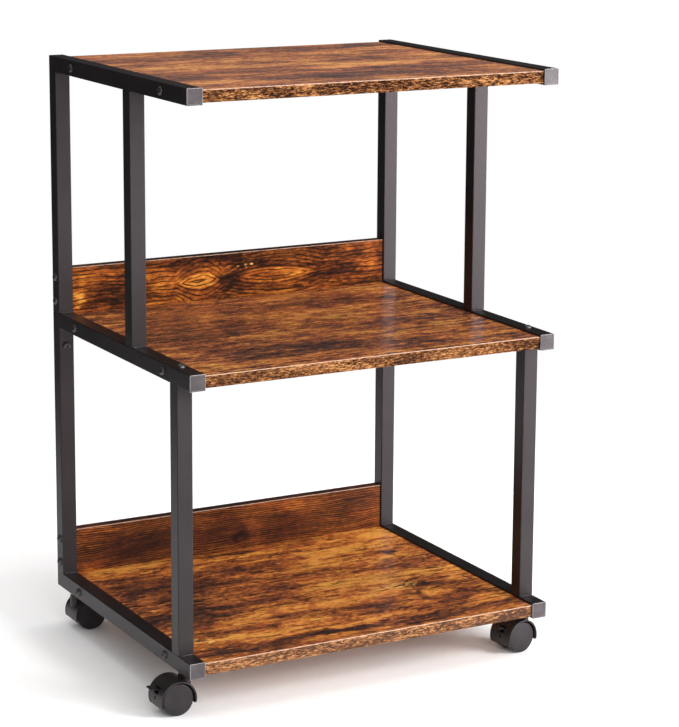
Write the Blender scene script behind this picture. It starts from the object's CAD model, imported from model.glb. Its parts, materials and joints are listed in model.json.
"""A mobile printer stand: black powder-coated tube frame, rustic brown boards and twin-wheel casters.

Everything is in metres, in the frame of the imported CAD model: +Z up, the open front towards -Y.
"""

import json
import math

import bmesh
import bpy
from mathutils import Matrix, Vector, noise

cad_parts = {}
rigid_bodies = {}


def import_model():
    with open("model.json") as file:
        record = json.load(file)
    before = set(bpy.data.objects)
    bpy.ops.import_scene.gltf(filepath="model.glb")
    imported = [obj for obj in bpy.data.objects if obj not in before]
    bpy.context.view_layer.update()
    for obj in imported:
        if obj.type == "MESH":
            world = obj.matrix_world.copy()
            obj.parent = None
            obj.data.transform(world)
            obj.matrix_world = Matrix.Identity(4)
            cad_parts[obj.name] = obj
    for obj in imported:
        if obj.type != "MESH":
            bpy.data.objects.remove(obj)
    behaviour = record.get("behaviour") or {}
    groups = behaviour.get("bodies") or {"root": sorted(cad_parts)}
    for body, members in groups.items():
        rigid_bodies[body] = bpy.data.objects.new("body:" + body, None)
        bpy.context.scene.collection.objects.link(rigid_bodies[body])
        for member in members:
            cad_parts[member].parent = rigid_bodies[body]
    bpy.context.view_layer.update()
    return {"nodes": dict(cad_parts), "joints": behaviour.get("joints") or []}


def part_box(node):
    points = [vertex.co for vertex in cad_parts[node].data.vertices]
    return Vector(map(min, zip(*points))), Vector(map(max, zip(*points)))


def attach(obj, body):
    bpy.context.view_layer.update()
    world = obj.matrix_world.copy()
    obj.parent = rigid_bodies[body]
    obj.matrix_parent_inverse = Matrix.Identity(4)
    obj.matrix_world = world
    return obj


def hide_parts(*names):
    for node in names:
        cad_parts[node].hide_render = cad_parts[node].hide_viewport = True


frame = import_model()

MM = 0.001
TINY = 0.001 * MM
FAR = 1000.0
X, Y, Z = 0, 1, 2
SHARP = math.radians(40.0)
FRAME_BODY = "frame"
SIDES = ("left", "right")
SHELVES = ("top_shelf", "middle_shelf", "bottom_shelf")
PANELS = ("middle_back_panel", "lower_back_panel")
TUBES = (
    "top_rail", "middle_rail", "bottom_rail",
    "upper_rear_post", "lower_rear_post", "upper_front_post", "lower_front_post",
)
CASTERS = ("front_left_caster", "front_right_caster", "rear_left_caster", "rear_right_caster")
BRAKED = ("front_left_caster", "front_right_caster")
JOINTS = {joint["name"]: joint for joint in frame["joints"]}


# ------------------------ node materials


class Shader:
    """A new node material, with short calls that add nodes and return their output sockets."""

    def __init__(self, name):
        self.material = bpy.data.materials.new(name)
        self.material.use_nodes = True
        self.tree = self.material.node_tree
        self.tree.nodes.clear()
        self.surface = self.tree.nodes.new("ShaderNodeBsdfPrincipled")
        self.output = self.tree.nodes.new("ShaderNodeOutputMaterial")
        self.tree.links.new(self.surface.outputs["BSDF"], self.output.inputs["Surface"])
        self.place = self.tree.nodes.new("ShaderNodeTexCoord").outputs["Object"]

    def plug(self, socket, value):
        """Links value to socket, or sets it when value is a constant."""
        if isinstance(value, bpy.types.NodeSocket):
            self.tree.links.new(value, socket)
        else:
            socket.default_value = value

    def math(self, operation, a, b=0.0):
        node = self.tree.nodes.new("ShaderNodeMath")
        node.operation = operation
        self.plug(node.inputs[0], a)
        self.plug(node.inputs[1], b)
        return node.outputs[0]

    def vector(self, operation, a, b=(0.0, 0.0, 0.0)):
        node = self.tree.nodes.new("ShaderNodeVectorMath")
        node.operation = operation
        self.plug(node.inputs[0], a)
        self.plug(node.inputs[1], b)
        return node.outputs["Value" if operation == "LENGTH" else "Vector"]

    def scaled(self, place, scale, offset=(0.0, 0.0, 0.0)):
        node = self.tree.nodes.new("ShaderNodeMapping")
        self.plug(node.inputs["Vector"], place)
        node.inputs["Scale"].default_value = scale
        node.inputs["Location"].default_value = offset
        return node.outputs[0]

    def noise(self, place, scale=1.0, detail=4.0, roughness=0.5, distortion=0.0, colour=False):
        node = self.tree.nodes.new("ShaderNodeTexNoise")
        self.plug(node.inputs["Vector"], place)
        node.inputs["Scale"].default_value = scale
        node.inputs["Detail"].default_value = detail
        node.inputs["Roughness"].default_value = roughness
        node.inputs["Distortion"].default_value = distortion
        return node.outputs["Color" if colour else "Fac"]

    def ramp(self, factor, stops):
        """Colours at (factor, colour) stops, straight between them."""
        node = self.tree.nodes.new("ShaderNodeValToRGB")
        self.plug(node.inputs[0], factor)
        elements = node.color_ramp.elements
        while len(elements) < len(stops):
            elements.new(1.0)
        for element, (at, colour) in zip(elements, stops):
            element.position = at
            element.color = (*colour, 1.0)
        return node.outputs[0]

    def fade(self, value, low, high):
        """0 on low's side and 1 on high's side, smooth between them."""
        node = self.tree.nodes.new("ShaderNodeMapRange")
        node.interpolation_type = "SMOOTHSTEP"
        self.plug(node.inputs["Value"], value)
        node.inputs["From Min"].default_value = low
        node.inputs["From Max"].default_value = high
        return node.outputs[0]

    def between(self, value, low, high):
        """A value from 0 to 1 spread over low to high."""
        node = self.tree.nodes.new("ShaderNodeMapRange")
        self.plug(node.inputs["Value"], value)
        node.inputs["To Min"].default_value = low
        node.inputs["To Max"].default_value = high
        return node.outputs[0]

    def mix(self, factor, a, b, blend="MIX"):
        node = self.tree.nodes.new("ShaderNodeMix")
        node.data_type = "RGBA"
        node.blend_type = blend
        self.plug(node.inputs["Factor"], factor)
        for socket, value in ((node.inputs[6], a), (node.inputs[7], b)):
            self.plug(socket, value if isinstance(value, bpy.types.NodeSocket) else (*value, 1.0))
        return node.outputs[2]

    def reach(self, place, centre, half):
        """Distance from a centre, counted in half sizes: 1 on the ellipse's edge."""
        node = self.tree.nodes.new("ShaderNodeMapping")
        node.vector_type = "TEXTURE"
        self.plug(node.inputs["Vector"], place)
        node.inputs["Location"].default_value = (*centre, 0.0)
        node.inputs["Scale"].default_value = (*half, FAR)
        return self.vector("LENGTH", node.outputs[0])

    def shift(self, place, pushed, amount):
        """place moved by up to half of amount each way, as the noise colour pushed says."""
        centred = self.vector("SUBTRACT", pushed, (0.5, 0.5, 0.5))
        return self.vector("ADD", place, self.vector("MULTIPLY", centred, amount))

    def total(self, *values):
        result = values[0]
        for value in values[1:]:
            result = self.math("ADD", result, value)
        return result

    def times(self, value, factor):
        return self.math("MULTIPLY", value, factor)

    def swing(self, value, amount):
        """How far value is from 0.5, times amount."""
        return self.times(self.math("SUBTRACT", value, 0.5), amount)

    def bump(self, height, depth, strength):
        node = self.tree.nodes.new("ShaderNodeBump")
        node.inputs["Strength"].default_value = strength
        node.inputs["Distance"].default_value = depth
        self.plug(node.inputs["Height"], height)
        return node.outputs[0]

    def split(self, place):
        node = self.tree.nodes.new("ShaderNodeSeparateXYZ")
        self.plug(node.inputs[0], place)
        return node.outputs

    def join(self, x, y, z):
        node = self.tree.nodes.new("ShaderNodeCombineXYZ")
        for socket, value in zip(node.inputs, (x, y, z)):
            self.plug(socket, value)
        return node.outputs[0]

    def finish(self, colour, roughness, normal=None, metallic=0.0, specular=0.5):
        """Sets the surface up and returns the material."""
        self.plug(self.surface.inputs["Base Color"], colour)
        self.plug(self.surface.inputs["Roughness"], roughness)
        self.surface.inputs["Metallic"].default_value = metallic
        self.surface.inputs["Specular IOR Level"].default_value = specular
        if normal is not None:
            self.plug(self.surface.inputs["Normal"], normal)
        return self.material


# Tones of the printed foil, from the darkest to the lightest
RUSTIC = (
    (0.00, (0.014, 0.008, 0.006)),
    (0.18, (0.040, 0.015, 0.009)),
    (0.34, (0.105, 0.030, 0.010)),
    (0.50, (0.220, 0.060, 0.014)),
    (0.64, (0.360, 0.102, 0.018)),
    (0.78, (0.500, 0.165, 0.024)),
    (0.90, (0.620, 0.240, 0.036)),
    (1.00, (0.720, 0.330, 0.058)),
)
SOOT = (0.014, 0.008, 0.006)
STRAW = (0.880, 0.520, 0.150)
# A pale haze over the foil
BLOOM = (0.210, 0.180, 0.172)
# Multipliers that lean the colour towards red or yellow
RUSSET = (1.04, 0.92, 0.96)
HONEY = (1.03, 1.02, 0.96)


class Grain:
    """Coordinates of a board: x along the grain and y across it, from the board's middle.

    flat is straight, smooth wanders gently, fibre also frays and ragged is torn both ways.
    """

    def __init__(self, s, node, upright, seed):
        self.s = s
        lo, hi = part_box(node)
        middle = (lo + hi) / 2
        x, y, z = s.split(s.vector("SUBTRACT", s.place, tuple(middle)))
        self.flat = s.join(x, z, y) if upright else s.join(x, y, z)
        self.seed = (seed, seed * 0.7, seed * 1.3)
        wide = s.noise(s.scaled(self.flat, (8.0, 15.0, 15.0), self.seed), detail=3.0, colour=True)
        fine = s.noise(s.scaled(self.flat, (60.0, 110.0, 110.0), self.seed), detail=4.0, colour=True)
        self.fibre = s.shift(s.shift(self.flat, wide, (0.0, 0.016, 0.0)), fine, (0.006, 0.005, 0.0))
        self.ragged = s.shift(s.shift(self.flat, wide, (0.040, 0.034, 0.0)), fine, (0.034, 0.020, 0.0))
        self.smooth = s.shift(s.shift(self.flat, wide, (0.0, 0.012, 0.0)), fine, (0.0, 0.0012, 0.0))

    def layer(self, place, along, across, detail, roughness):
        """Noise at so many grains a metre along the board and across it."""
        return self.s.noise(self.s.scaled(place, (along, across, across), self.seed), 1.0, detail, roughness)

    def reach(self, x, across, length, width):
        """Distance from a ragged ellipse's middle, all in mm: 1 on its edge."""
        return self.s.reach(self.ragged, (x * MM, across * MM), (length * MM, width * MM))


def whorl_field(s, g, whorls):
    """Lines of equal value run along the grain and part round pointed whorls. It is below 0 inside them.

    whorls are (x, across, half length, half width) in mm. The first one's middle and width hold for all.
    """
    x, across = s.split(g.smooth)[:2]
    middle, width = whorls[0][1] * MM, whorls[0][3] * MM
    field = s.times(s.math("ABSOLUTE", s.math("SUBTRACT", across, middle)), 1.0 / width)
    for at, _, length, _ in whorls:
        along = s.times(s.math("SUBTRACT", x, at * MM), 1.0 / (length * MM))
        bulge = s.math("SUBTRACT", 1.0, s.math("MULTIPLY", along, along))
        field = s.math("SUBTRACT", field, s.math("MAXIMUM", bulge, 0.0))
    return field


def growth_lines(s, g, turns, thin):
    """Dark uneven lines, one for each whole turn. thin is the share of a turn that a line takes."""
    wander = g.layer(g.smooth, 9.0, 30.0, 3.0, 0.6)
    turns = s.total(turns, s.swing(wander, 3.0), 0.5)
    near = s.math("ABSOLUTE", s.math("SUBTRACT", s.math("FRACT", turns), 0.5))
    uneven = g.layer(g.fibre, 24.0, 80.0, 4.0, 0.65)
    return s.fade(s.math("SUBTRACT", near, s.swing(uneven, 0.7)), thin, thin * 0.2)


def cracks(s, g, fine):
    """Ragged veins, which break off here and there."""
    ridge = s.math("ABSOLUTE", s.math("SUBTRACT", g.layer(g.fibre, 11.0, 55.0 * fine, 4.0, 0.6), 0.5))
    where = g.layer(g.fibre, 9.0, 34.0, 3.0, 0.6)
    return s.times(s.fade(ridge, 0.022, 0.006), s.fade(where, 0.46, 0.58))


def flecked(s, g, colour, fleck):
    """colour with dark and straw flecks, which thin out towards the edge of the (x, across, ...) ellipse."""
    spots = g.layer(g.fibre, 110.0, 380.0, 4.0, 0.75)
    rare = s.times(s.fade(g.reach(*fleck), 0.3, 1.5), 0.20)
    colour = s.mix(s.fade(s.math("ADD", spots, rare), 0.48, 0.43), colour, SOOT)
    return s.mix(s.fade(s.math("SUBTRACT", spots, rare), 0.52, 0.57), colour, STRAW)


def rustic_wood(name, node, seed, patches=(), flecks=(), whorls=(), upright=False, fine=1.0,
                contrast=1.0, lift=0.0, blotched=1.45, mottled=0.65, lines=0.5, veins=0.4,
                growth=0.0, spacing=6.0, thin=0.1, bloom=0.0, tint=(1.0, 1.0, 1.0),
                rough=0.30, shine=0.35):
    """Printed rustic board.

    patches are (x, across, half length, half width, tone) in mm from the board's middle, where a
    negative tone is darker. flecks and whorls are (x, across, half length, half width). upright is
    for boards that stand on edge, and fine narrows the grain of those that are seen face on.
    contrast and lift spread and raise the tone, and blotched and mottled weigh its coarse and its
    middling noise. lines, veins and growth say how dark the thin lines, the cracks and the growth
    lines are. spacing, in mm, and thin are those of the growth lines. bloom is the share of pale
    haze, tint multiplies the colour, and rough and shine are the foil's roughness and gloss.
    """
    s = Shader(name)
    g = Grain(s, node, upright, seed)
    broad = g.layer(g.ragged, 6.0, 20.0, 9.0, 0.58)
    mottle = g.layer(g.fibre, 50.0, 95.0 * fine, 5.0, 0.70)
    streak = g.layer(g.fibre, 7.5, 125.0 * fine, 7.0, 0.64)
    grit = g.layer(g.flat, 120.0, 260.0 * fine, 4.0, 0.70)
    peel = s.fade(g.layer(g.ragged, 13.0, 24.0, 8.0, 0.62), 0.495, 0.52)
    tone = s.total(
        s.swing(broad, blotched * contrast),
        s.swing(mottle, mottled * contrast),
        s.swing(streak, 1.25 * contrast),
        s.swing(grit, 1.3 * contrast),
        s.swing(peel, 0.12 * contrast),
        0.5 + lift,
    )
    for *ellipse, amount in patches:
        tone = s.math("ADD", tone, s.times(s.fade(g.reach(*ellipse), 1.3, 0.35), amount))
    if whorls:
        field = whorl_field(s, g, whorls)
        turns = s.times(field, whorls[0][3] / spacing)
        tone = s.math("ADD", tone, s.times(s.fade(field, 0.05, -0.45), 0.36))
    elif growth:
        turns = s.times(s.split(g.smooth)[1], 1.0 / (spacing * MM))
    warmth = s.fade(g.layer(g.ragged, 11.0, 30.0, 6.0, 0.62), 0.42, 0.58)
    colour = s.mix(1.0, s.ramp(tone, RUSTIC), tint, "MULTIPLY")
    colour = s.mix(1.0, colour, s.mix(warmth, RUSSET, HONEY), "MULTIPLY")
    colour = s.mix(bloom, colour, BLOOM)

    line = g.layer(g.fibre, 24.0, 270.0 * fine, 3.0, 0.58)
    colour = s.mix(s.times(s.fade(line, 0.56, 0.66), lines), colour, SOOT)
    vein = s.times(cracks(s, g, fine), veins)
    colour = s.mix(vein, colour, SOOT)
    if growth:
        colour = s.mix(s.times(growth_lines(s, g, turns, thin), growth), colour, SOOT)
    for fleck in flecks:
        colour = flecked(s, g, colour, fleck)

    roughness = s.total(s.between(broad, rough - 0.05, rough + 0.07), s.times(vein, 0.2))
    height = s.total(s.times(streak, 0.5), s.times(grit, 0.25), s.times(line, -0.3), s.times(vein, -1.0))
    return s.finish(colour, roughness, s.bump(height, 0.10 * MM, 0.35), specular=shine)


def flaky_band(name, seed, pale=0.0, contrast=1.0):
    """Edge band printed with short ragged flecks. pale washes it towards a greyish tan."""
    s = Shader(name)
    warp = s.noise(s.scaled(s.place, (40.0, 90.0, 90.0), (seed, 0.0, 0.0)), detail=3.0, colour=True)
    place = s.shift(s.place, warp, (0.0, 0.0, 0.005))
    flecks = s.noise(s.scaled(place, (135.0, 640.0, 640.0), (seed, 0.0, 0.0)), 1.0, 5.0, 0.68, 0.3)
    grit = s.noise(s.scaled(place, (330.0, 900.0, 900.0), (seed, 0.0, 0.0)), 1.0, 2.0, 0.6)
    broad = s.noise(s.scaled(place, (14.0, 60.0, 60.0), (0.0, seed, 0.0)), 1.0, 3.0, 0.5)
    tone = s.total(
        s.swing(flecks, 2.5 * contrast),
        s.swing(grit, 1.1 * contrast),
        s.swing(broad, 0.9 * contrast),
        0.5,
    )
    colour = s.ramp(tone, (
        (0.20, (0.012, 0.006, 0.004)),
        (0.38, (0.048, 0.016, 0.007)),
        (0.52, (0.120, 0.042, 0.014)),
        (0.68, (0.235, 0.092, 0.030)),
        (0.90, (0.450, 0.220, 0.080)),
    ))
    colour = s.mix(pale, colour, (0.200, 0.098, 0.058))
    return s.finish(colour, s.between(flecks, 0.45, 0.65), s.bump(flecks, 0.15 * MM, 0.5), specular=0.12)


def pale_corner():
    """The bare corner of the board, where the face foil is trimmed."""
    s = Shader("pale_corner")
    speck = s.noise(s.scaled(s.place, (160.0, 700.0, 700.0)), 1.0, 4.0, 0.6)
    colour = s.ramp(speck, ((0.34, (0.26, 0.15, 0.10)), (0.62, (0.60, 0.39, 0.28))))
    return s.finish(colour, s.between(speck, 0.40, 0.60), s.bump(speck, 0.08 * MM, 0.4))


def powder_coat():
    """Fine-textured black powder coat."""
    s = Shader("powder_coat")
    grit = s.noise(s.place, 2200.0, 2.0, 0.55)
    cloud = s.noise(s.place, 18.0, 4.0, 0.6)
    scuff = s.noise(s.scaled(s.place, (70.0, 70.0, 240.0)), 1.0, 5.0, 0.65)
    colour = s.ramp(cloud, (
        (0.30, (0.0105, 0.0088, 0.0088)),
        (0.70, (0.0165, 0.0140, 0.0142)),
    ))
    colour = s.mix(s.times(s.fade(scuff, 0.63, 0.80), 0.25), colour, (0.060, 0.052, 0.054))
    roughness = s.total(s.between(cloud, 0.34, 0.42), s.times(scuff, 0.08))
    s.surface.inputs["Specular Tint"].default_value = (1.0, 0.86, 0.91, 1.0)
    return s.finish(colour, roughness, s.bump(grit, 0.05 * MM, 0.35), specular=0.36)


def moulded_plastic(name, dark, light, rough, grain=900.0, depth=0.03):
    """Moulded plastic with a fine grain and faint flow clouds."""
    s = Shader(name)
    grit = s.noise(s.place, grain, 3.0, 0.6)
    cloud = s.noise(s.place, 55.0, 4.0, 0.6)
    colour = s.ramp(cloud, ((0.32, dark), (0.68, light)))
    roughness = s.math("ADD", s.between(cloud, rough - 0.05, rough + 0.04), s.math("MULTIPLY", grit, 0.05))
    s.surface.inputs["Specular Tint"].default_value = (1.0, 0.90, 0.95, 1.0)
    return s.finish(colour, roughness, s.bump(grit, depth * MM, 0.5), specular=0.32)


def worn_metal(name, dark, light, rough, metallic=1.0):
    """Plated or blackened steel with turned marks and small stains."""
    s = Shader(name)
    stain = s.noise(s.place, 160.0, 5.0, 0.65)
    fine = s.noise(s.place, 1440.0, 3.0, 0.6)
    colour = s.ramp(stain, ((0.30, dark), (0.72, light)))
    roughness = s.math("ADD", s.between(stain, rough - 0.06, rough + 0.08), s.math("MULTIPLY", fine, 0.06))
    return s.finish(colour, roughness, s.bump(fine, 0.02 * MM, 0.5), metallic=metallic)


MATERIALS = {
    "coat": powder_coat(),
    "cap": moulded_plastic("cap_plastic", (0.040, 0.034, 0.037), (0.075, 0.065, 0.069), 0.34),
    "cap_edge": moulded_plastic("cap_edge", (0.22, 0.20, 0.205), (0.34, 0.31, 0.32), 0.28),
    "caster": moulded_plastic("caster_plastic", (0.014, 0.0125, 0.012), (0.024, 0.0215, 0.0205), 0.36),
    "wheel": moulded_plastic("wheel_plastic", (0.011, 0.0095, 0.0105), (0.019, 0.0165, 0.018), 0.36),
    "lever": moulded_plastic("lever_plastic", (0.012, 0.012, 0.012), (0.020, 0.019, 0.019), 0.34),
    "bolt": worn_metal("blackened_bolt", (0.060, 0.055, 0.055), (0.130, 0.120, 0.120), 0.40, 0.8),
    "steel": worn_metal("plain_steel", (0.38, 0.38, 0.39), (0.58, 0.58, 0.60), 0.32),
    "zinc": worn_metal("zinc_inserts", (0.50, 0.43, 0.26), (0.74, 0.66, 0.44), 0.34),
    "corner": pale_corner(),
}


# ------------------------ mesh helpers


def add_piece(name, bm, materials, body, replaces=()):
    """Makes bm an object that rides on a CAD body and stands for the CAD nodes that it replaces."""
    bmesh.ops.recalc_face_normals(bm, faces=bm.faces)
    for face in bm.faces:
        face.smooth = True
    for edge in bm.edges:
        edge.smooth = edge.calc_face_angle(0.0) < SHARP
    mesh = bpy.data.meshes.new(name)
    bm.to_mesh(mesh)
    bm.free()
    piece = bpy.data.objects.new(name, mesh)
    bpy.context.scene.collection.objects.link(piece)
    for material in materials:
        mesh.materials.append(material)
    weighted = piece.modifiers.new("weighted", "WEIGHTED_NORMAL")
    weighted.keep_sharp = True
    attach(piece, body)
    if replaces:
        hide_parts(*replaces)


def dress(node, material):
    """Gives a carried-over CAD node its material."""
    node = frame["nodes"][node]
    node.data.materials.clear()
    node.data.materials.append(material)


def solids(node):
    """(lowest corner, highest corner) of each separate solid in a CAD node."""
    bm = bmesh.new()
    bm.from_mesh(frame["nodes"][node].data)
    bmesh.ops.remove_doubles(bm, verts=bm.verts, dist=TINY)
    left = set(bm.verts)
    boxes = []
    while left:
        todo, island = [left.pop()], []
        while todo:
            vert = todo.pop()
            island.append(vert.co.copy())
            for edge in vert.link_edges:
                other = edge.other_vert(vert)
                if other in left:
                    left.remove(other)
                    todo.append(other)
        boxes.append((
            Vector(min(c[i] for c in island) for i in range(3)),
            Vector(max(c[i] for c in island) for i in range(3)),
        ))
    bm.free()
    return sorted(boxes, key=lambda box: tuple(box[0]))


def box_mesh(lo, hi):
    bm = bmesh.new()
    bmesh.ops.create_cube(bm, size=1.0)
    for vert in bm.verts:
        vert.co = [lo[i] + (vert.co[i] + 0.5) * (hi[i] - lo[i]) for i in range(3)]
    return bm


def bevel_edges(bm, edges, width, segments=3):
    """Rounds the edges and returns the new faces."""
    return bmesh.ops.bevel(
        bm, geom=list(edges), offset=width, segments=segments, profile=0.5, affect="EDGES"
    )["faces"]


def edges_at(bm, tests):
    """Edges whose both ends lie on every one of the (axis, value) planes."""
    return [
        edge for edge in bm.edges
        if all(abs(vert.co[axis] - value) < TINY for vert in edge.verts for axis, value in tests)
    ]


def loft(bm, loops, transform, closed=True):
    """Skins a row of point loops of equal length, in order, and closes the two ends."""
    rings = [[bm.verts.new(transform @ Vector(p)) for p in loop] for loop in loops]
    for low, high in zip(rings, rings[1:]):
        count = len(low)
        for i in range(count):
            j = (i + 1) % count
            bm.faces.new((low[i], low[j], high[j], high[i]))
    if closed:
        bm.faces.new(list(reversed(rings[0])))
        bm.faces.new(rings[-1])


def ring(radius, height, count):
    """A circle about z as points."""
    turn = 2 * math.pi / count
    return [(radius * math.cos(i * turn), radius * math.sin(i * turn), height) for i in range(count)]


def hexagon(radius, height, count):
    """A hexagon's outline with count points, spread so that they face those of a ring."""
    points = []
    for i in range(count):
        angle = 2 * math.pi * i / count
        within = (angle % (math.pi / 3)) - math.pi / 6
        r = radius * math.cos(math.pi / 6) / math.cos(within)
        points.append((r * math.cos(angle), r * math.sin(angle), height))
    return points


def rounded_square(half, corner, height):
    """Square outline with round corners, in the xy plane at a height."""
    steps = 5
    points = []
    for quarter in range(4):
        start = quarter * math.pi / 2
        for k in range(steps + 1):
            angle = start + k * math.pi / 2 / steps
            cx = (half - corner) * (1 if quarter in (0, 3) else -1)
            cy = (half - corner) * (1 if quarter in (0, 1) else -1)
            points.append((cx + corner * math.cos(angle), cy + corner * math.sin(angle), height))
    return points


def lathe(bm, profile, transform, count):
    """Turns a (radius, height) outline about z. A point on the axis is one vertex."""
    rings = []
    for radius, height in profile:
        points = [(0, 0, height)] if radius < TINY else ring(radius, height, count)
        rings.append([bm.verts.new(transform @ Vector(point)) for point in points])
    for a, b in zip(rings, rings[1:]):
        for i in range(count):
            j = (i + 1) % count
            if len(a) == 1 and len(b) == 1:
                break
            if len(a) == 1:
                bm.faces.new((a[0], b[j], b[i]))
            elif len(b) == 1:
                bm.faces.new((a[i], a[j], b[0]))
            else:
                bm.faces.new((a[i], a[j], b[j], b[i]))


def arc(cx, cy, radius, start, end, steps=6):
    """Points on an arc, angles in degrees."""
    span = [math.radians(start + (end - start) * k / steps) for k in range(steps + 1)]
    return [(cx + radius * math.cos(a), cy + radius * math.sin(a)) for a in span]


# ------------------------ boards


def board_core(node, name, wood, bare_face):
    """Board with soft edges everywhere but where its edge band sits, on the bare (axis, value) face."""
    bm = box_mesh(*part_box(node))
    banded = set(edges_at(bm, [bare_face]))
    bevel_edges(bm, [edge for edge in bm.edges if edge not in banded], 0.5 * MM)
    add_piece(name, bm, [wood], FRAME_BODY, [node])


def edge_band(node, name, printed, lip):
    """Thin band whose upper front edge is worn down to the pale core by lip."""
    lo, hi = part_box(node)
    bm = box_mesh(lo, hi)
    for face in bevel_edges(bm, edges_at(bm, ((Y, lo.y), (Z, hi.z))), lip):
        face.material_index = 1
    bevel_edges(bm, edges_at(bm, ((Y, lo.y), (Z, lo.z))), 0.4 * MM, 2)
    add_piece(name, bm, [printed, MATERIALS["corner"]], FRAME_BODY, [node])


WOODS = {
    "top_shelf": rustic_wood(
        "wood_top_shelf", "top_shelf", 3.1, contrast=1.15, lift=0.11, lines=0.4, veins=0.3,
        bloom=0.22, tint=(1.0, 1.05, 1.5), rough=0.36,
        patches=(
            (-60, 150, 60, 45, -0.20), (90, 36, 50, 36, -0.22), (-5, -134, 150, 34, -0.20),
            (95, 156, 80, 40, -0.12), (-190, -114, 30, 16, -0.18), (-90, 0, 120, 60, 0.10),
            (170, -44, 60, 30, 0.14), (205, 56, 26, 110, 0.10), (-170, 150, 40, 40, 0.06),
        ),
    ),
    "middle_shelf": rustic_wood(
        "wood_middle_shelf", "middle_shelf", 7.4, contrast=1.35, lift=0.10, blotched=1.0,
        mottled=1.05, lines=0.8, veins=0.9, bloom=0.12, tint=(1.0, 1.0, 1.2), rough=0.22,
        patches=(
            (-90, -136, 80, 32, -0.26), (30, 7, 22, 10, -0.26), (-160, 20, 70, 100, -0.24),
            (120, -36, 70, 9, -0.20), (80, -78, 140, 20, 0.24), (-55, 184, 34, 12, 0.30),
            (-20, 119, 40, 14, -0.14), (-15, 54, 50, 34, 0.10), (60, -58, 60, 4, -0.16),
            (165, 120, 50, 70, -0.06), (-110, 150, 50, 30, 0.04),
        ),
    ),
    "bottom_shelf": rustic_wood(
        "wood_bottom_shelf", "bottom_shelf", 12.9, contrast=1.2, lift=0.19, blotched=1.3,
        mottled=1.0, lines=0.8, veins=0.8, bloom=0.05, rough=0.30,
        patches=(
            (-50, 78, 100, 46, -0.30), (-180, 20, 100, 130, -0.40), (-2, 169, 26, 7, -0.34),
            (182, 71, 11, 14, -0.42), (135, 44, 60, 22, -0.10), (35, -71, 90, 26, 0.14),
            (90, -64, 30, 14, 0.12), (206, 160, 26, 20, 0.24), (95, 139, 110, 34, 0.06),
            (150, -62, 20, 10, -0.36), (128, -95, 9, 30, -0.28), (-72, -82, 14, 22, -0.32),
            (180, -125, 48, 26, -0.28), (-190, -82, 44, 14, -0.26), (-130, -84, 40, 22, 0.12),
            (-60, -172, 90, 9, -0.34), (60, -140, 120, 9, -0.16), (0, -180, 260, 24, -0.23),
            (120, 40, 120, 90, 0.06), (10, -10, 60, 50, 0.05),
        ),
        flecks=((125, -53, 40, 15), (-196, -131, 28, 10)),
    ),
    "middle_back_panel": rustic_wood(
        "wood_middle_back_panel", "middle_back_panel", 21.3, upright=True, contrast=0.85, lift=-0.12,
        mottled=0.7, lines=0.3, veins=0.0, growth=0.85, spacing=5.6, thin=0.24, fine=1.5, rough=0.42,
        shine=0.10,
        patches=(
            (-7, -8, 16, 12, -0.30), (-60, 22, 70, 8, -0.12), (-175, -14, 40, 16, -0.22),
            (175, -4, 34, 18, -0.18), (150, 20, 60, 9, -0.12), (60, -27, 120, 5, 0.06),
            (-214, -18, 10, 10, 0.36), (205, 4, 18, 10, 0.22), (-95, -2, 24, 12, 0.20),
            (-180, 20, 50, 7, 0.12), (-60, -20, 40, 8, 0.12),
        ),
        whorls=((-48, -3, 34, 13), (62, -3, 72, 13)),
        flecks=((14, 14, 14, 5),),
    ),
    "lower_back_panel": rustic_wood(
        "wood_lower_back_panel", "lower_back_panel", 33.8, upright=True, contrast=0.40, lift=-0.10,
        mottled=0.6, lines=0.5, veins=0.0, growth=0.9, spacing=2.9, thin=0.30, fine=1.6,
        tint=(1.0, 1.06, 1.15), rough=0.42, shine=0.10,
        patches=(
            (-150, 0, 80, 24, -0.16), (-190, 24, 30, 8, 0.18), (-215, -22, 20, 7, 0.24),
            (25, -6, 16, 24, 0.10), (8, -16, 20, 10, -0.20), (90, 24, 20, 6, 0.16),
        ),
    ),
}


def make_boards():
    """Shelves with a band in front, and back panels with a band on top."""
    bands = {
        "top_shelf": flaky_band("band_top_shelf", 1.0),
        "middle_shelf": flaky_band("band_middle_shelf", 4.0),
        "bottom_shelf": flaky_band("band_bottom_shelf", 9.0, 0.25, 1.4),
    }
    for node in SHELVES:
        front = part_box(node)[0].y
        board_core(node, node + "_board", WOODS[node], (Y, front))
        edge_band(node + "_edge_band", node + "_front_band", bands[node], 0.95 * MM)
    for node in PANELS:
        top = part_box(node)[1].z
        dark = rustic_wood("band_" + node, node, 5.5, contrast=0.6, lift=-0.28, veins=0.1)
        board_core(node, node + "_board", WOODS[node], (Z, top))
        edge_band(node + "_edge_band", node + "_top_band", dark, 0.7 * MM)


# ------------------------ tubes, welds, caps and bolts


def make_tubes():
    for side in SIDES:
        for tube in TUBES:
            dress(f"{side}_{tube}", MATERIALS["coat"])
        dress(f"{side}_rear_splice_insert", MATERIALS["steel"])


def weld_bead(bm, start, end, radius):
    """A row of overlapping weld ripples from start to end, with round ends."""
    spacing, step = 1.6 * MM, 0.45 * MM
    rise, unevenness, lumps_per_metre = 0.10, 0.10, 260.0
    along = end - start
    steps = int(along.length / step)
    to_line = along.to_track_quat("Z", "Y").to_matrix().to_4x4()
    loops = []
    for k in range(steps + 1):
        t = k / steps
        ripple = 1.0 + rise * math.sin(t * along.length / spacing * 2 * math.pi)
        ripple += unevenness * noise.noise((start + along * t) * lumps_per_metre)
        narrowing = max(0.15, math.sqrt(max(0.0, 1.0 - abs(2 * t - 1) ** 8)))
        loops.append(ring(radius * ripple * narrowing, t * along.length, 12))
    loft(bm, loops, Matrix.Translation(start) @ to_line)


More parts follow.
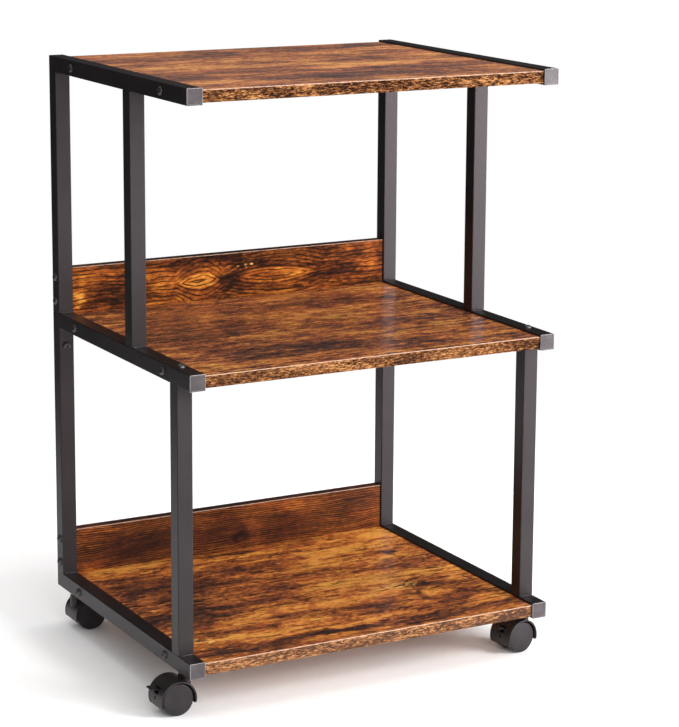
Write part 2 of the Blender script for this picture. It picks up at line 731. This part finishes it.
def make_welds():
    """Beads across the tube wherever two welded tubes meet in an inner corner.

    The lower front post has none on top, because it is bolted to the middle rail there.
    """
    inset = 1.5 * MM
    radius = 1.5 * MM
    for side in SIDES:
        bm = bmesh.new()
        rear_lo, rear_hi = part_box(f"{side}_upper_rear_post")
        upper_lo, upper_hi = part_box(f"{side}_upper_front_post")
        lower_lo, lower_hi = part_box(f"{side}_lower_front_post")
        middle_lo, middle_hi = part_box(f"{side}_middle_rail")
        top_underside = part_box(f"{side}_top_rail")[0].z
        bottom_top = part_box(f"{side}_bottom_rail")[1].z
        corners = [(y, z) for y in (upper_lo.y, upper_hi.y) for z in (upper_lo.z, upper_hi.z)]
        corners += [(y, lower_lo.z) for y in (lower_lo.y, lower_hi.y)]
        corners += [(rear_lo.y, z) for z in (middle_lo.z, middle_hi.z, top_underside, bottom_top)]
        for y, z in corners:
            start, end = Vector((rear_lo.x + inset, y, z)), Vector((rear_hi.x - inset, y, z))
            weld_bead(bm, start, end, radius)
        add_piece(f"{side}_frame_welds", bm, [MATERIALS["coat"]], FRAME_BODY)


def end_cap(bm, lo, hi):
    """Moulded cap facing -Y: a plate with a soft rim round a recessed middle, and a hollow plug."""
    half = (hi.x - lo.x) / 2
    centre = Vector(((lo.x + hi.x) / 2, lo.y, (lo.z + hi.z) / 2))
    place = Matrix.Translation(centre) @ Matrix.Rotation(math.radians(90), 4, "X")
    plate, corner, inner_corner, soft = 1.5 * MM, 1.2 * MM, 0.3 * MM, 0.45 * MM
    rim = (
        (0.0, -plate),
        (0.0, -soft),
        (0.13 * MM, -0.13 * MM),
        (soft, 0.0),
        (1.35 * MM, 0.0),
        (1.50 * MM, -0.06 * MM),
        (1.62 * MM, -0.30 * MM),
        (1.80 * MM, -0.36 * MM),
    )
    loft(bm, [rounded_square(half - inset, max(corner - inset, inner_corner), z) for inset, z in rim], place)
    plug, plug_corner, wall = half - 1.35 * MM, 0.5 * MM, 2.0 * MM
    end = lo.y - hi.y
    loft(bm, [
        rounded_square(plug - wall, inner_corner, -plate),
        rounded_square(plug - wall, inner_corner, end),
        rounded_square(plug, plug_corner, end),
        rounded_square(plug, plug_corner, -plate),
    ], place, closed=False)


def make_caps():
    """End caps, whose soft edges, just behind their front, are rubbed pale."""
    edge_from, edge_to = 0.05 * MM, 0.32 * MM
    bm = bmesh.new()
    boxes = solids("rail_end_caps")
    for lo, hi in boxes:
        end_cap(bm, lo, hi)
    for face in bm.faces:
        y = face.calc_center_median().y
        front = min((lo.y for lo, hi in boxes), key=lambda cap_front: abs(cap_front - y))
        if edge_from < y - front < edge_to:
            face.material_index = 1
    materials = [MATERIALS["cap"], MATERIALS["cap_edge"]]
    add_piece("rail_end_caps_moulded", bm, materials, FRAME_BODY, ["rail_end_caps"])


def button_bolt(bm, top, out, length):
    """Button head bolt with a hex socket. top is the middle of its head's top, which faces out."""
    head_r, head_h, shank_r = 5.25 * MM, 3.3 * MM, 2.95 * MM
    socket_r, socket_deep, chamfer = 0.44 * head_r, 2.0 * MM, 0.15 * MM
    flat = socket_r + 0.35 * MM
    dome, dome_steps = math.acos(flat / head_r), 8
    rim = 0.16 * head_h
    count = 48
    outline = [(shank_r, head_h - length), (shank_r, 0.0)]
    outline += [(head_r - 0.2 * MM, 0.0), (head_r, chamfer), (head_r, rim)]
    for k in range(1, dome_steps + 1):
        angle = dome * k / dome_steps
        rise = math.sin(angle) / math.sin(dome)
        outline.append((head_r * math.cos(angle), rim + (head_h - rim) * rise))
    loops = [ring(r, z, count) for r, z in outline]
    loops.append(hexagon(socket_r + 0.12 * MM, head_h, count))
    loops.append(hexagon(socket_r, head_h - chamfer, count))
    loops.append(hexagon(socket_r, head_h - socket_deep, count))
    seat = top - out * head_h
    loft(bm, loops, Matrix.Translation(seat) @ out.to_track_quat("Z", "Y").to_matrix().to_4x4())


def make_bolts():
    """Bolts along x point out of the side frames, those along y face the front, and those along z up."""
    for node in ("shelf_bolts", "panel_bolts", "frame_joint_bolts"):
        bm = bmesh.new()
        for lo, hi in solids(node):
            middle, size = (lo + hi) / 2, hi - lo
            along = max((X, Y, Z), key=lambda axis: size[axis])
            out = Vector((0, 0, 0))
            out[along] = {X: math.copysign(1, middle.x), Y: -1, Z: 1}[along]
            button_bolt(bm, middle + out * size[along] / 2, out, size[along])
        add_piece(node + "_turned", bm, [MATERIALS["bolt"]], FRAME_BODY, [node])
    dress("shelf_bolt_inserts", MATERIALS["zinc"])
    dress("panel_bolt_inserts", MATERIALS["zinc"])
    dress("front_post_nut_plates", MATERIALS["steel"])


# ------------------------ casters


def caster_frame(name):
    """The axle's own frame, and how far the swivel axis is from it.

    x points towards the swivel axis, y up and z along the axle to the outer wheel.
    """
    swivel = Vector(JOINTS[name + "_swivel"]["pos_m"])
    spin = JOINTS[name + "_outer_wheel_spin"]
    axle = Vector(spin["pos_m"])
    forward = Vector((swivel.x - axle.x, swivel.y - axle.y, 0.0))
    axes = forward.normalized(), Vector((0, 0, 1)), Vector(spin["axis"]).normalized()
    return Matrix.Translation(axle) @ Matrix(axes).transposed().to_4x4(), forward.length


def brake_pivot(name):
    """Place of the brake lever's pivot in the axle's own frame, halfway between the wheels."""
    pivot = caster_frame(name)[0].inverted() @ Vector(JOINTS[name + "_brake"]["pos_m"])
    return Matrix.Translation((pivot.x, pivot.y, 0.0))


# Sizes from the front left caster, which stands square in the frame
AXLE_Y = JOINTS["front_left_caster_outer_wheel_spin"]["pos_m"][Y]
WHEEL_LO, WHEEL_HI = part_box("front_left_caster_outer_wheel")
HOOD_LO, HOOD_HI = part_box("front_left_caster_housing")
WHEEL_R = (WHEEL_HI.z - WHEEL_LO.z) / 2
WHEEL_IN, WHEEL_OUT = AXLE_Y - WHEEL_HI.y, AXLE_Y - WHEEL_LO.y
HOOD_HALF = (HOOD_HI.y - HOOD_LO.y) / 2
HOOD_IN = WHEEL_R + 1.5 * MM
HOOD_OUT = WHEEL_R + 3.5 * MM
# How far the hood's two ends come down below the axle
LEAD_DROP, TRAIL_DROP = 6.5 * MM, 9.5 * MM
BOSS_HALF = WHEEL_IN - 0.5 * MM
BOSS_BOTTOM = 29.0 * MM
# How much of the stem boss, from its top, keeps its full width above the wheels
BOSS_COLLAR = 11.4 * MM


def cut(bm, boxes):
    """A copy of bm with boxes, given by their corners, cut out of it. bm is freed."""
    made = []
    for solid in [bm] + [box_mesh(lo, hi) for lo, hi in boxes]:
        mesh = bpy.data.meshes.new("cut")
        bmesh.ops.recalc_face_normals(solid, faces=solid.faces)
        solid.to_mesh(mesh)
        solid.free()
        piece = bpy.data.objects.new("cut", mesh)
        bpy.context.scene.collection.objects.link(piece)
        made.append(piece)
    target, *tools = made
    for tool in tools:
        modifier = target.modifiers.new("cut", "BOOLEAN")
        modifier.operation = "DIFFERENCE"
        modifier.object = tool
        modifier.solver = "EXACT"
    bpy.context.view_layer.update()
    evaluated = target.evaluated_get(bpy.context.evaluated_depsgraph_get())
    result = bmesh.new()
    result.from_mesh(evaluated.to_mesh())
    for piece in made:
        bpy.data.objects.remove(piece)
    return result


def hood_profile(squeeze):
    """Section of the hood as (width, radius) points. squeeze narrows it towards its ends."""
    soft, rim, step = 0.55 * MM, 2.0 * MM, 0.35 * MM
    shoulder = HOOD_HALF - rim
    half = [(HOOD_HALF - 0.3 * MM, HOOD_IN), (HOOD_HALF, HOOD_IN + 0.3 * MM)]
    half += arc(HOOD_HALF - soft, HOOD_OUT - soft, soft, 0, 90, 4)
    half += [(shoulder + 0.25 * MM, HOOD_OUT), (shoulder, HOOD_OUT - 0.1 * MM)]
    half += [(shoulder - 0.15 * MM, HOOD_OUT - step), (shoulder - 1.5 * MM, HOOD_OUT - step)]
    profile = half + [(0.0, HOOD_OUT - step + 0.15 * MM)] + [(-w, r) for w, r in reversed(half)]
    return [(w * squeeze, r) for w, r in profile]


def hood_mesh(braked):
    """Arched hood over both wheels, with raised rims, round ends and slots on its trailing side."""
    corner, steps = 2.4 * MM, 70
    start = -math.asin(LEAD_DROP / HOOD_OUT)
    end = math.pi + math.asin(TRAIL_DROP / HOOD_OUT)
    round_end = [corner * t / HOOD_OUT for t in (0.0, 0.04, 0.14, 0.3, 0.5, 0.75, 1.0)]
    span = end - start - 2 * round_end[-1]
    angles = [start + angle for angle in round_end]
    angles += [start + round_end[-1] + span * k / steps for k in range(1, steps)]
    angles += [end - angle for angle in reversed(round_end)]
    loops = []
    for angle in angles:
        left = corner - min(corner, (angle - start) * HOOD_OUT, (end - angle) * HOOD_OUT)
        squeeze = 1.0 - (corner - math.sqrt(corner ** 2 - left ** 2)) / HOOD_HALF
        loops.append([(r * math.cos(angle), r * math.sin(angle), w) for w, r in hood_profile(squeeze)])
    bm = bmesh.new()
    loft(bm, loops, Matrix.Identity(4))
    outside, inside = -HOOD_OUT - 2 * MM, 1.5 * MM - HOOD_IN
    if braked:
        lever_half, lever_inside, key_half = 5.4 * MM, -17.0 * MM, 1.6 * MM
        return cut(bm, [
            ((outside, 6.6 * MM, -lever_half), (lever_inside, 14.8 * MM, lever_half)),
            ((outside, 0.0, -key_half), (inside, 4.0 * MM, key_half)),
        ])
    slot_at, slot_half = 5.0 * MM, 1.0 * MM
    return cut(bm, [
        ((outside, 1.0 * MM, middle - slot_half), (inside, 9.0 * MM, middle + slot_half))
        for middle in (-slot_at, slot_at)
    ])


def web_mesh():
    """Plate between the wheels, joined to the hood over the top and on the leading side."""
    half, soft = 2.5 * MM, 0.4 * MM
    outline = arc(0, 0, WHEEL_R - 2.0 * MM, 118, 342, 36) + arc(0, 0, HOOD_IN + 0.5 * MM, -14, 116, 30)
    bm = bmesh.new()
    loft(bm, [[(x, y, z) for x, y in outline] for z in (-half, half)], Matrix.Identity(4))
    bevel_edges(bm, edges_at(bm, ((Z, -half),)) + edges_at(bm, ((Z, half),)), soft, 2)
    return bm


def boss_profile(top, bottom):
    """Stem boss outline with a rounded shoulder and a bore for the swivel pin."""
    radius, bore, soft, chamfer = 7.5 * MM, 3.45 * MM, 1.0 * MM, 0.3 * MM
    floor = bottom + 1.6 * MM
    return (
        [(0.0, floor), (bore, floor), (bore, top - chamfer), (bore + chamfer, top)]
        + arc(radius - soft, top - soft, soft, 90, 0)
        + [(radius, bottom + soft), (radius - soft, bottom), (0.0, bottom)]
    )


def merge(bm, other, transform=None):
    """Adds other's geometry to bm and frees other."""
    if transform is not None:
        bmesh.ops.transform(other, matrix=transform, verts=other.verts)
    mesh = bpy.data.meshes.new("merge")
    other.to_mesh(mesh)
    other.free()
    bm.from_mesh(mesh)
    bpy.data.meshes.remove(mesh)


def boss_mesh(name):
    """Stem boss, cut flat on both sides where the wheels turn beside it."""
    place, trail = caster_frame(name)
    axle_z = place.translation.z
    top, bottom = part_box(name + "_housing")[1].z - axle_z, BOSS_BOTTOM - axle_z
    bm = bmesh.new()
    upright = Matrix.Translation((trail, 0, 0)) @ Matrix.Rotation(math.radians(-90), 4, "X")
    lathe(bm, boss_profile(top, bottom), upright, 48)
    reach, wide = WHEEL_R + 1.0 * MM, 20.0 * MM
    right, high = trail + 1.5 * MM, top - BOSS_COLLAR
    return cut(bm, [
        ((-reach, -reach, BOSS_HALF), (right, high, wide)),
        ((-reach, -reach, -wide), (right, high, -BOSS_HALF)),
    ])


def housing_piece(name):
    """Hood, web, stem boss, axle boss and, with a brake, the lever's trunnion in one moulding."""
    place = caster_frame(name)[0]
    bm = bmesh.new()
    merge(bm, hood_mesh(name in BRAKED))
    merge(bm, web_mesh())
    merge(bm, boss_mesh(name))
    hub_r, chamfer = 5.5 * MM, 0.5 * MM
    lathe(bm, [
        (0.0, -BOSS_HALF), (hub_r - chamfer, -BOSS_HALF), (hub_r, chamfer - BOSS_HALF),
        (hub_r, BOSS_HALF - chamfer), (hub_r - chamfer, BOSS_HALF), (0.0, BOSS_HALF),
    ], Matrix.Identity(4), 40)
    if name in BRAKED:
        trunnion_r, end = 1.5 * MM, BOSS_HALF - 0.3 * MM
        lathe(bm, [(0.0, -end), (trunnion_r, -end), (trunnion_r, end), (0.0, end)], brake_pivot(name), 24)
    bmesh.ops.transform(bm, matrix=place, verts=bm.verts)
    node = name + "_housing"
    add_piece(name + "_hood", bm, [MATERIALS["caster"]], name + "_fork", [node])


def wheel_outline():
    """Wheel's section from the axis round its outer face, tread and hollow inner side."""
    rim, hub, bore, dish, edge = 3.0 * MM, 5.6 * MM, 3.05 * MM, 0.5 * MM, 1.8 * MM
    web = WHEEL_OUT - dish - 2.0 * MM
    bore_end = WHEEL_OUT - 3.0 * MM
    r = WHEEL_R
    outline = [(0.0, WHEEL_OUT), (0.3 * r, WHEEL_OUT - 0.03 * MM), (0.6 * r, WHEEL_OUT - 0.14 * MM)]
    outline += [(0.8 * r, WHEEL_OUT - 0.30 * MM), (r - edge - 0.4 * MM, WHEEL_OUT - dish)]
    outline += arc(r - edge, WHEEL_OUT - dish - edge, edge, 84, 0, 7)
    outline += [(r, WHEEL_OUT - 5.0 * MM), (r, WHEEL_IN + 4.0 * MM)]
    outline += arc(r - edge, WHEEL_IN + edge, edge, 0, -90)
    outline += [(r - rim, WHEEL_IN), (r - rim, web), (hub, web), (hub, WHEEL_IN)]
    return outline + [(bore, WHEEL_IN), (bore, bore_end), (0.0, bore_end)]


def wheel_piece(name, which, turn):
    """One wheel, turned about x: by half a turn for the inner one, which faces the other way."""
    place = caster_frame(name)[0] @ Matrix.Rotation(turn, 4, "X")
    bm = bmesh.new()
    lathe(bm, wheel_outline(), place, 96)
    spokes, half = 6, 0.8 * MM
    lo = 5.0 * MM, -half, WHEEL_IN + 2.0 * MM
    hi = WHEEL_R - 2.5 * MM, half, WHEEL_OUT - 2.0 * MM
    for k in range(spokes):
        merge(bm, box_mesh(lo, hi), place @ Matrix.Rotation(2 * math.pi * k / spokes, 4, "Z"))
    node = f"{name}_{which}_wheel"
    add_piece(node + "_disc", bm, [MATERIALS["wheel"]], node, [node])


def lever_loops():
    """Sections of the lever's neck and wider tab, side by side, as (out, up, across) from the pivot."""
    top = (4.0, 1.3), (9.0, 1.3), (12.0, 1.5), (15.0, 1.5), (17.6, 2.0)
    tip = (19.0, 2.6), (19.45, 2.2), (19.2, 1.4)
    low = (17.6, 0.2), (15.0, -0.6), (12.0, -1.2), (9.0, -1.3), (4.0, -1.3)
    neck_half, tab_half, tab_start, flare = 4.4, 7.0, 10.0, 3.5
    loops = []
    for side in (-1.0, -0.94, -0.6, 0.0, 0.6, 0.94, 1.0):
        outermost = abs(side) == 1.0
        thickness, pull = (0.72, 0.03) if outermost else (1.0, 0.0)
        loop = []
        for out, up in top + tip + low:
            middle = 0.4 if out < 12.0 else 1.0
            half = neck_half + (tab_half - neck_half) * min(1.0, max(0.0, (out - tab_start) / flare))
            point = out + (11.5 - out) * pull, middle + (up - middle) * thickness, side * half
            loop.append(Vector(point) * MM)
        loops.append(loop)
    return loops


def lever_piece(name):
    """Brake lever: a tab on two cheeks that hold the trunnion. At rest it slopes up and outwards."""
    slope = math.radians(24)
    cheek_in, cheek_out, cheek_r, bore = 2.8 * MM, 4.4 * MM, 3.5 * MM, 1.55 * MM
    bm = bmesh.new()
    loft(bm, lever_loops(), Matrix.Identity(4))
    for low, high in ((-cheek_out, -cheek_in), (cheek_in, cheek_out)):
        cheek = bmesh.new()
        outline = (bore, low), (cheek_r, low), (cheek_r, high), (bore, high), (bore, low)
        lathe(cheek, outline, Matrix.Identity(4), 32)
        bmesh.ops.remove_doubles(cheek, verts=cheek.verts, dist=TINY)
        merge(bm, cheek)
        merge(bm, box_mesh((2.4 * MM, -1.3 * MM, low), (5.0 * MM, 1.3 * MM, high)))
    place = caster_frame(name)[0] @ brake_pivot(name) @ Matrix.Rotation(math.pi - slope, 4, "Z")
    bmesh.ops.transform(bm, matrix=place, verts=bm.verts)
    node = name + "_brake_lever"
    add_piece(node + "_tab", bm, [MATERIALS["lever"]], node, [node])


def make_casters():
    for name in CASTERS:
        housing_piece(name)
        wheel_piece(name, "outer", 0.0)
        wheel_piece(name, "inner", math.pi)
        dress(name + "_axle", MATERIALS["steel"])
    for name in BRAKED:
        lever_piece(name)
    for node in ("caster_stems", "caster_weld_nuts", "caster_retaining_rings"):
        dress(node, MATERIALS["steel"])


# ------------------------ studio


def make_floor():
    """Pale floor, just under the wheels, that fades into the white surroundings."""
    fade_from, fade_to, radius, drop = 0.75, 1.6, 1.65, 0.2 * MM
    s = Shader("studio_floor")
    soft = s.noise(s.place, 3.0, 2.0, 0.5)
    s.finish(s.ramp(soft, ((0.3, (0.88, 0.88, 0.88)), (0.7, (0.90, 0.90, 0.90)))), 0.9, specular=0.1)
    clear = s.tree.nodes.new("ShaderNodeBsdfTransparent")
    blend = s.tree.nodes.new("ShaderNodeMixShader")
    s.plug(blend.inputs["Fac"], s.fade(s.vector("LENGTH", s.place), fade_from, fade_to))
    s.plug(blend.inputs[1], s.surface.outputs["BSDF"])
    s.plug(blend.inputs[2], clear.outputs["BSDF"])
    s.plug(s.output.inputs["Surface"], blend.outputs[0])
    bm = bmesh.new()
    bmesh.ops.create_circle(bm, cap_ends=True, segments=96, radius=radius)
    bmesh.ops.translate(bm, verts=bm.verts, vec=(0, 0, -drop))
    mesh = bpy.data.meshes.new("studio_floor")
    bm.to_mesh(mesh)
    bm.free()
    mesh.materials.append(s.material)
    floor = bpy.data.objects.new("studio_floor", mesh)
    bpy.context.scene.collection.objects.link(floor)


def area_light(name, place, aim, size, power):
    """A soft lamp that faces the point aim."""
    data = bpy.data.lights.new(name, "AREA")
    data.shape = "RECTANGLE"
    data.size, data.size_y = size
    data.energy = power
    lamp = bpy.data.objects.new(name, data)
    bpy.context.scene.collection.objects.link(lamp)
    lamp.location = place
    lamp.rotation_mode = "QUATERNION"
    lamp.rotation_quaternion = (Vector(aim) - Vector(place)).to_track_quat("-Z", "Y")
    return lamp


def mirrors_lamps(piece):
    """True for the posts, caps, bolts and casters, whose gloss shows the lamps in front."""
    boards = any(m.name.startswith(("wood_", "band_")) for m in piece.data.materials)
    return not boards and not piece.name.endswith("_rail")


def make_lights():
    """White surroundings for the camera, dim ones for gloss and fill, and soft lamps.

    The boards and rails don't mirror the lamps in front, which would glare on them in views from
    behind. So each of these is a pair: a soft lamp without gloss, and a lamp with gloss alone for
    the rest. The second is a little nearer, because lamps in one place hide each other in gloss.
    """
    seen, fill, gloss_fill = 1.0, 0.70, 0.03
    gloss_power, gloss_nearer = 1.5, 0.01
    world = bpy.data.worlds.new("studio")
    bpy.context.scene.world = world
    world.use_nodes = True
    nodes, links = world.node_tree.nodes, world.node_tree.links
    background = nodes["Background"]
    rays = nodes.new("ShaderNodeLightPath")
    strength = nodes.new("ShaderNodeMapRange")
    links.new(rays.outputs["Is Camera Ray"], strength.inputs["Value"])
    gloss = nodes.new("ShaderNodeMapRange")
    gloss.inputs["To Min"].default_value = fill
    gloss.inputs["To Max"].default_value = gloss_fill
    links.new(rays.outputs["Is Glossy Ray"], gloss.inputs["Value"])
    links.new(gloss.outputs[0], strength.inputs["To Min"])
    strength.inputs["To Max"].default_value = seen
    background.inputs["Color"].default_value = (1.0, 1.0, 1.0, 1.0)
    links.new(strength.outputs[0], background.inputs["Strength"])
    centre = (0, 0, 0.4)
    area_light("top", (0.2, 0.3, 2.8), centre, (2.2, 2.0), 38.0)
    mirrors = bpy.data.collections.new("mirrors")
    for piece in bpy.data.objects:
        if piece.type == "MESH" and mirrors_lamps(piece):
            mirrors.objects.link(piece)
    for name, place, aim, size, power in (
        ("key", (1.7, -2.4, 1.9), (0.1, 0, 0.4), (1.2, 1.2), 85.0),
        ("front", (-0.3, -3.4, 1.3), centre, (1.8, 1.2), 55.0),
        ("side", (1.95, -1.9, 0.50), (0.25, 0, 0.5), (1.0, 1.2), 38.0),
    ):
        soft = area_light(name, place, aim, size, power)
        soft.visible_glossy = False
        nearer = Vector(place).lerp(Vector(aim), gloss_nearer)
        mirrored = area_light(name + "_mirrored", nearer, aim, size, gloss_power * power)
        mirrored.visible_diffuse = False
        mirrored.light_linking.receiver_collection = mirrors
    bpy.context.scene.view_settings.view_transform = "Standard"


def make_camera():
    """The photograph's view, with only a small shift."""
    azimuth, elevation, roll = math.radians(28.78), math.radians(11.31), math.radians(0.37)
    place = Vector((-1.407, -2.668, 1.0632))
    ahead = Vector((
        math.sin(azimuth) * math.cos(elevation),
        math.cos(azimuth) * math.cos(elevation),
        -math.sin(elevation),
    ))
    data = bpy.data.cameras.new("camera")
    data.sensor_width = 36.0
    data.lens = 120.43
    data.shift_y = -0.0997
    camera = bpy.data.objects.new("camera", data)
    bpy.context.scene.collection.objects.link(camera)
    camera.location = place
    turned = ahead.to_track_quat("-Z", "Y").to_matrix().to_4x4() @ Matrix.Rotation(roll, 4, "Z")
    camera.rotation_mode = "QUATERNION"
    camera.rotation_quaternion = turned.to_quaternion()
    bpy.context.scene.camera = camera


# ------------------------ the whole stand

make_camera()
make_boards()
make_tubes()
make_welds()
make_caps()
make_bolts()
make_casters()
make_floor()
make_lights()
